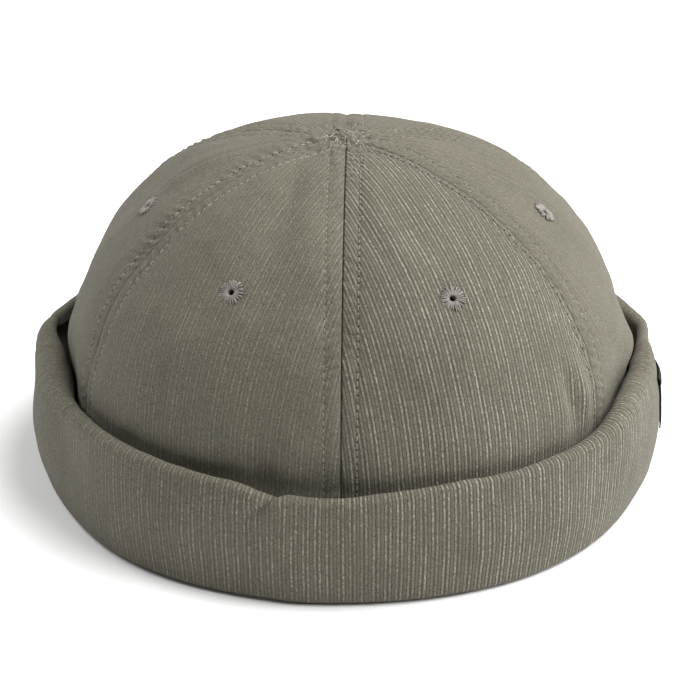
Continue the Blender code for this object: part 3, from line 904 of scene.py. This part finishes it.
def stitchRow(seam, away, strength, seed):
    draw = np.random.default_rng(seed)
    shape = np.array([0.0, 0.12, 0.5, 0.88, 1.0])
    lifts = np.array([-stitching["sunk"], 0.04 * mm, stitching["lift"], 0.04 * mm, -stitching["sunk"]])
    lifts -= stitching["bury"] * max(1.0 - strength, 0.0)
    paths = []
    first = math.ceil(float(climb(riseAtHeight(stitching["startHeight"]))) / stitching["pitch"])
    for number in range(first, 200):
        middle = (number + 0.5) * stitching["pitch"]
        places = middle + (shape - 0.5) * stitching["length"] * draw.uniform(0.93, 1.04)
        rise = riseAtClimb(places)
        radius = reachOf(domePoint(seam, rise))
        sway = draw.uniform(-0.1, 0.1) * mm * (shape - 0.5) * 2
        turn = np.degrees((away + sway) / radius)
        if rise[-1] > stitching["lastRise"] or abs(turn[-1]) > stitching["crossTurn"]:
            break
        paths.append((crownSurface(seam + turn, rise, lifts), domeOutward(seam + turn, rise)))
    return paths


def makeTopstitching(number, panel):
    paths = stitchRow(panel.seam, panel.stitches[0] * mm, panel.holes[0], 200 + number)
    paths += stitchRow(panel.seam, -panel.stitches[1] * mm, panels[number - 1].holes[1], 300 + number)
    thread = paleThread if panel.name == "FrontLeft" else seamThread
    thing = makeThreads("topstitching" + str(number + 1), paths, stitching["thread"], thread)
    return dress(thing, "thread")


allowance = {
    "halfWidth": 6.4 * mm,
    "thickness": 0.5 * mm,
    "clearance": 0.25 * mm,
    "widestTurn": 28.0,  # degrees to each side near the top, where six allowances meet
    "rows": 90,
}


def makeAllowance(number, panel):
    # The panels' edges, pressed open inside the crown and held by the topstitching
    low, high = float(riseAtHeight(crown["bandSeamHeight"])), riseAtReach(1.0 * mm)
    rise = np.linspace(low, high, allowance["rows"] + 1)[:, None]
    radius = reachOf(domePoint(panel.seam, rise))
    halfTurn = np.minimum(np.degrees(allowance["halfWidth"] / radius), allowance["widestTurn"])
    share = np.array([-1.0, -0.75, -0.45, -0.2, -0.06, 0.0, 0.06, 0.2, 0.45, 0.75, 1.0])
    azimuth = panel.seam + halfTurn * share[None, :]
    rise = np.broadcast_to(rise, azimuth.shape)
    points = crownSurface(azimuth, rise, -crown["wall"] - allowance["clearance"])
    across = np.radians(azimuth - panel.seam) * radius
    grain = np.stack([across + 0.5, climb(rise)], -1)
    faces = gridFaces(*azimuth.shape)
    name = "seamAllowance" + str(number + 1)
    thing = makeObject(name, points.reshape(-1, 3), faces, insideCloth, grain=grain)
    addWall(thing, allowance["thickness"], -1.0)
    return dress(thing, "twill")


topKnot = {
    "stitches": 44,
    "reach": 9.0 * mm,
    "shortest": 0.8,  # half lengths in millimetres
    "longest": 1.6,
    "bend": 0.5,
    "thread": 0.8 * stitching["thread"],
    "deepest": 2.4 * mm,  # below the crown's height
}


def makeTopKnot():
    # Crossing stitches over the place where the panels' points meet
    draw = np.random.default_rng(41)
    rises = np.linspace(0.90, riseAtReach(crown["tipReach"]), 200)
    reaches = reachOf(domePoint(0.0, rises))
    share = np.linspace(-1, 1, 7)
    lifts = np.array([-0.25, 0.06, 0.20, 0.26, 0.20, 0.06, -0.25]) * mm
    paths = []
    for stitch in range(topKnot["stitches"]):
        turn = 2 * math.pi * stitch / topKnot["stitches"] + draw.uniform(-0.3, 0.3)
        way = np.array([math.sin(turn), -math.cos(turn)])
        centre = way * topKnot["reach"] * draw.uniform(0.1, 1.0) ** 0.8
        lean = turn + draw.uniform(0.5, 2.4)
        along = np.array([math.sin(lean), -math.cos(lean)])
        beside = np.array([along[1], -along[0]])
        length = draw.uniform(topKnot["shortest"], topKnot["longest"]) * mm
        bend = beside * draw.uniform(-topKnot["bend"], topKnot["bend"]) * mm
        line = centre + np.outer(share * length, along) + np.outer(1 - share ** 2, bend)
        azimuth = np.degrees(np.arctan2(line[:, 0], -line[:, 1]))
        rise = np.interp(-np.linalg.norm(line, axis=-1), -reaches, rises)
        points = crownSurface(azimuth, rise)
        points[:, 2] = np.maximum(points[:, 2], crown["height"] - topKnot["deepest"]) + lifts
        points[:, :2] = line
        paths.append((points, np.tile([0.0, 0.0, 1.0], (7, 1))))
    thing = makeThreads("crossingStitches", paths, topKnot["thread"], paleThread)
    return dress(thing, "thread")


# Cuff


def around(column, azimuth):
    # A column of the cuff's table at any azimuth, on a smooth closed curve through its rows
    rows = sorted(cuffSections, key=lambda section: section.azimuth % 360.0)
    places = np.array([section.azimuth % 360.0 for section in rows])
    values = np.array([getattr(section, column) for section in rows])
    gaps = (np.roll(places, -1) - np.roll(places, 1)) % 360.0
    slopes = (np.roll(values, -1) - np.roll(values, 1)) / gaps
    before = (np.searchsorted(places, azimuth % 360.0, side="right") - 1) % len(rows)
    after = (before + 1) % len(rows)
    span = (places[after] - places[before]) % 360.0
    part = ((azimuth - places[before]) % 360.0) / span
    square, cube = part ** 2, part ** 3
    return (
        values[before] * (2 * cube - 3 * square + 1)
        + values[after] * (3 * square - 2 * cube)
        + slopes[before] * span * (cube - 2 * square + part)
        + slopes[after] * span * (cube - square)
    )


def rollRadius(azimuth):
    return cuff["wall"] + cuff["rollFold"] * around("roll", azimuth)


def returnStanding(azimuth, height):
    slack = cuff["gap"] + cuff["slack"] * np.maximum(around("slack", azimuth), 0.0)
    return smoothCrown(azimuth, height) + slack + cuff["wall"] / 2


def rollMiddle(azimuth):
    height = cuff["height"] * around("rim", azimuth) - rollRadius(azimuth)
    return returnStanding(azimuth, height) + rollRadius(azimuth) - cuff["wall"] / 2, height


def footFolds(azimuth):
    inner = smoothCrown(azimuth, np.full_like(azimuth, cuff["bandSeamHeight"])) - crown["wall"] / 2
    width = cuff["footWidth"] * around("foot", azimuth)
    innerFold = np.minimum(cuff["footInnerFold"], width * 0.2)
    outerFold = np.minimum(cuff["footOuterFold"], width * 0.6)
    return inner, inner + width, innerFold, outerFold


def cuffStanding(azimuth, height):
    _, outer, _, fold = footFolds(azimuth)
    low = cuff["wall"] / 2 + fold
    middle, high = rollMiddle(azimuth)
    top = middle + rollRadius(azimuth) - cuff["wall"] / 2
    part = (height - low) / (high - low)
    return outer + (top - outer) * part + cuff["bulge"] * around("bulge", azimuth) * 4 * part * (1 - part)


def outwardPoint(azimuth, standing, height):
    point = planPoint(azimuth) + planOutward(azimuth) * standing[..., None]
    point[..., 2] = height
    return point


def cuffSectionLine(azimuth):
    # The strip's middle line from the band's seam, under the foot, up the cuff and over the roll
    inner, outer, innerFold, outerFold = footFolds(azimuth)
    floor = cuff["wall"] / 2
    line = []

    def addArc(middleOut, middleUp, radius, start, end, steps):
        for step in range(steps + 1):
            turn = math.radians(start + (end - start) * step / steps)
            line.append((middleOut + radius * math.cos(turn), middleUp + radius * math.sin(turn)))

    for share in np.linspace(0, 1, 5, endpoint=False):
        line.append((inner, cuff["bandSeamHeight"] + (floor + innerFold - cuff["bandSeamHeight"]) * share))
    addArc(inner + innerFold, floor + innerFold, innerFold, 180, 270, 4)
    for share in (0.33, 0.67):
        out = inner + innerFold + (outer - outerFold - inner - innerFold) * share
        line.append((out, floor + 0 * inner))
    addArc(outer - outerFold, floor + outerFold, outerFold, 270, 360, 6)
    lowerFold = len(line) - 1
    topOut, topUp = rollMiddle(azimuth)
    low = floor + outerFold
    for step in range(1, cuff["wallSteps"]):
        height = low + (topUp - low) * step / cuff["wallSteps"]
        line.append((cuffStanding(azimuth, height), height))
    addArc(topOut, topUp, rollRadius(azimuth) - cuff["wall"] / 2, 0, 180, 17)
    for share in np.linspace(0, 1, 9)[1:]:
        height = topUp - cuff["returnLength"] * around("hem", azimuth) * share
        line.append((returnStanding(azimuth, height), height))
    points = np.stack([outwardPoint(azimuth, out, up) for out, up in line])
    return points, lowerFold


cuffFinish = {
    "girth": 0.607,  # the way round that stripes and folds are counted on
    "waveDepth": 0.30 * mm,
    "waveSize": 38 * mm,
    "rippleDepth": 0.06 * mm,
    "rippleSize": 8 * mm,
    "gatherDepth": 0.14 * mm,  # small gathers across the roll, at the sides
    "gatherLength": 4.4 * mm,
    "seamAzimuth": 181.5,
    "seamDepth": 0.55 * mm,
    "seamReach": 0.8 * mm,
    "seamRidge": 0.18 * mm,
    "seamRidgeMiddle": 2.2 * mm,
    "seamRidgeReach": 1.4 * mm,
}

# How clearly the stripes show round the cuff, a painted sheen: strongest towards the front right, where the
# raised lines catch the light, and weakest at the left and at the sides
StripeSheen = namedtuple("StripeSheen", "azimuth share")
cuffStripeSheen = (
    StripeSheen(-180, 0.70),
    StripeSheen(-110, 0.35),
    StripeSheen(-75, 0.40),
    StripeSheen(-45, 0.62),
    StripeSheen(-10, 0.92),
    StripeSheen(15, 1.28),
    StripeSheen(45, 1.55),
    StripeSheen(70, 1.05),
    StripeSheen(100, 0.45),
    StripeSheen(180, 0.70),
)


def cuffRelief(azimuth, up, points):
    # Up is measured along the cloth from the lower fold, in metres
    share = up / cuff["height"]
    girth = cuffFinish["girth"]
    relief = np.zeros_like(up)
    for fold in cuffFolds:
        beside = turnedBy(azimuth, fold.azimuth) / 360.0 * girth / crown["halfWidth"]
        above = (share - fold.rise) * cuff["height"] / crown["halfWidth"]
        relief += foldShape(fold, cuff["foldDepth"], beside, above)
    shows = smoothStep(0.0, 0.3, share)
    relief += shows * cuffFinish["waveDepth"] * softNoise(points, cuffFinish["waveSize"], 21)
    relief += shows * cuffFinish["rippleDepth"] * softNoise(points, cuffFinish["rippleSize"], 22)
    beside = np.radians(azimuth) * girth / (2 * math.pi)
    place = np.stack([beside, 0 * beside, up * 0.3], -1)
    phase = 1.6 * softNoise(place, 16 * mm, 23)
    gathers = np.cos(2 * math.pi * beside / cuffFinish["gatherLength"] + phase)
    turned = np.abs(turnedBy(azimuth, 0.0))
    sides = smoothStep(48, 66, turned) * (1 - smoothStep(84, 96, turned))
    onRoll = bell(share - 0.90, 0.15)
    relief += cuffFinish["gatherDepth"] * gathers * (0.18 + 0.82 * sides) * onRoll
    seamReach = np.radians(turnedBy(azimuth, cuffFinish["seamAzimuth"])) * girth / (2 * math.pi)
    relief -= cuffFinish["seamDepth"] * bell(seamReach, cuffFinish["seamReach"])
    besideSeam = np.abs(seamReach) - cuffFinish["seamRidgeMiddle"]
    relief += cuffFinish["seamRidge"] * bell(besideSeam, cuffFinish["seamRidgeReach"])
    return relief


def cuffMiddle(azimuth):
    # Points, outward directions and lengths up the cloth, of the strip's middle with all its relief
    points, lowerFold = cuffSectionLine(azimuth)
    lengths = np.linalg.norm(np.diff(points, axis=0), axis=-1)
    up = np.concatenate([np.zeros((1, len(azimuth))), np.cumsum(lengths, axis=0)])
    up = up - up[lowerFold]
    alongRight = cuffSectionLine(azimuth + 0.3)[0] - cuffSectionLine(azimuth - 0.3)[0]
    outward = unit(np.cross(alongRight, np.gradient(points, axis=0)))
    turns = np.broadcast_to(azimuth, up.shape)
    points = points + outward * cuffRelief(turns, up, points)[..., None]
    return points, outward, up, lowerFold


def makeCuff():
    azimuth = np.arange(cuff["turns"]) * 360.0 / cuff["turns"] + cuffFinish["seamAzimuth"]
    points, _, up, lowerFold = cuffMiddle(azimuth)

    # One more column closes the ring at the joining seam, where the grain's count starts again
    points = np.concatenate([points, points[:, :1]], axis=1)
    up = np.concatenate([up, up[:, :1]], axis=1)
    across = np.linspace(0, cuffFinish["girth"], cuff["turns"] + 1)
    grain = np.stack([np.broadcast_to(across, up.shape), up + 0.02], -1)
    # The stripes' painted sheen round the cuff rides on a map of its own
    shares = np.interp(turnedBy(np.append(azimuth, azimuth[0]), 0.0), *zip(*cuffStripeSheen))
    wear = np.stack([np.broadcast_to(shares, up.shape), 0 * up], -1)
    faces = gridFaces(*up.shape)
    thing = makeObject("rolledCuff", points.reshape(-1, 3), faces, cuffCloth, grain=grain, wear=wear)
    addWall(thing, cuff["wall"], 0.0)
    dress(thing, "twill", "cuff")
    waist = points[lowerFold + cuff["wallSteps"] // 2 + 1]
    girth = np.linalg.norm(np.diff(waist, axis=0), axis=-1).sum()
    print("cuff: round %.3f m, strip %.3f m" % (girth, (up[-1] - up[0]).mean()))
    return thing


tag = {
    "width": 22.0 * mm,
    "height": 18.4 * mm,
    "wall": 0.50 * mm,
    "bottom": 15.9 * mm,
    "lift": 0.60 * mm,
    "azimuth": 89.5,
    "gap": 0.15 * mm,
    "edge": 0.16 * mm,
    "faceRows": 36,  # rows of the cuff, from its lower fold up, that the tag is laid on
    "columns": 60,
    "rows": 44,
}


def makeTag():
    across = np.linspace(-0.5, 0.5, tag["columns"] + 1)
    share = np.linspace(0, 1, tag["rows"] + 1)[:, None]
    radius = float(np.linalg.norm(planPoint(np.array(tag["azimuth"]))))
    turns = tag["azimuth"] + np.degrees(tag["width"] * across / radius)
    azimuth = np.broadcast_to(turns, (tag["rows"] + 1, len(across)))
    height = np.broadcast_to(tag["bottom"] + tag["height"] * share, azimuth.shape)

    # Near its top it stands off in a small loop, most of all towards the front
    loop = tag["lift"] * smoothStep(0.82, 0.89, share) * (1 - 0.85 * smoothStep(0.92, 1.0, share))
    loop = loop * (1 - smoothStep(0.15, 0.45, across))[None, :]

    # It lies on the cuff's outer face, which is read off column by column
    middle, outward, _, lowerFold = cuffMiddle(turns)
    face = (middle + outward * cuff["wall"] / 2)[lowerFold:lowerFold + tag["faceRows"]]
    reach = ((face - planPoint(turns)) * planOutward(turns)).sum(-1)
    columns = [np.interp(height[:, 0], face[:, n, 2], reach[:, n]) for n in range(len(turns))]
    standing = np.stack(columns, -1) + tag["gap"] + loop
    points = outwardPoint(azimuth, standing, height)
    grain = np.stack([np.broadcast_to(across * tag["width"], azimuth.shape), height], -1)
    faces = gridFaces(tag["rows"] + 1, tag["columns"] + 1)
    thing = makeObject("sideTag", points.reshape(-1, 3), faces, blackTape, grain=grain)
    addWall(thing, tag["wall"], 1.0)
    rounded = thing.modifiers.new("edges", "BEVEL")
    rounded.width = tag["edge"]
    rounded.segments = 2
    return dress(thing, "tape", "tag")


print("making the crown")
# Each panel has its own copy of the twill, with the stripe strength of its painted sheen
panelCloth = [makeTwill("twill" + panel.name, panel.stripe, panel) for panel in panels]
insideCloth = makeTwill("twillInside", 0.5)
cuffCloth = makeTwill("twillCuff", 1.0, sheenMap="wear")
crownPieces = [makePanel(number, panel) for number, panel in enumerate(panels)]
for number, panel in enumerate(panels):
    makeEyelet(number, panel)
print("stitching the seams")
topstitching = [makeTopstitching(number, panel) for number, panel in enumerate(panels)]
makeTopKnot()
allowances = [makeAllowance(number, panel) for number, panel in enumerate(panels)]
print("rolling the cuff")
cuffPiece = makeCuff()
makeTag()


# Floor, light and camera

studio = {
    "floorColour": (0.98, 0.98, 0.98),
    "worldStrength": 0.15,
    "keyPower": 66.0,
    "keySize": 2.1,
    "keyAzimuth": 88.0,
    "keyElevation": 50.0,
    "keyDistance": 1.5,
    "fillPower": 14.5,
    "fillAzimuth": -115.0,
    "fillElevation": 38.0,
    "fillDistance": 1.5,
    "fillSize": 1.0,
    "aim": 0.05,  # the height that the lights turn about
    "floorReach": 3.0,
    "floorDrop": 0.2 * mm,
}


def makeFloor():
    material, tree, shader = newMaterial("paleFloor", 0.9, 0.1, 0.0)
    feed(tree, shader.inputs["Base Color"], studio["floorColour"])
    reach, drop = studio["floorReach"], studio["floorDrop"]
    points = [(x * reach, y * reach, -drop) for x, y in ((-1, -1), (1, -1), (1, 1), (-1, 1))]
    floor = makeObject("floor", points, [(0, 1, 2, 3)], material)


def addSoftLight(name):
    turn = math.radians(studio[name + "Azimuth"])
    lift = math.radians(studio[name + "Elevation"])
    away = Vector((math.sin(turn) * math.cos(lift), -math.cos(turn) * math.cos(lift), math.sin(lift)))
    light = bpy.data.lights.new(name, "AREA")
    light.shape = "DISK"
    light.size = studio[name + "Size"]
    light.energy = studio[name + "Power"]
    thing = addObject(name, light)
    thing.location = away * studio[name + "Distance"] + Vector((0, 0, studio["aim"]))
    thing.rotation_mode = "QUATERNION"
    thing.rotation_quaternion = away.to_track_quat("Z", "Y")


view = {
    "elevation": 25.83,
    "lookAt": (0.0, 0.0, 0.0382),
    "distance": 0.955,
    "focalPixels": 2923.0,
    "imagePixels": 700.0,
    "shiftPixels": 3.44,
    "sensor": 36.0,
}


def makeCamera():
    tilt = math.radians(view["elevation"])
    forward = Vector((0, math.cos(tilt), -math.sin(tilt)))
    camera = bpy.data.cameras.new("camera")
    camera.sensor_width = view["sensor"]
    camera.lens = view["focalPixels"] / view["imagePixels"] * view["sensor"]
    camera.shift_x = view["shiftPixels"] / view["imagePixels"]
    thing = addObject("camera", camera)
    thing.location = Vector(view["lookAt"]) - forward * view["distance"]
    thing.rotation_euler = (math.radians(90 - view["elevation"]), 0, 0)
    bpy.context.scene.camera = thing


print("lighting")
makeFloor()
addSoftLight("key")
addSoftLight("fill")
world = bpy.data.worlds.new("studio")
world.use_nodes = True
background = world.node_tree.nodes["Background"]
background.inputs["Color"].default_value = (1.0, 1.0, 1.0, 1.0)
background.inputs["Strength"].default_value = studio["worldStrength"]
bpy.context.scene.world = world
bpy.context.scene.view_settings.view_transform = "Standard"
makeCamera()
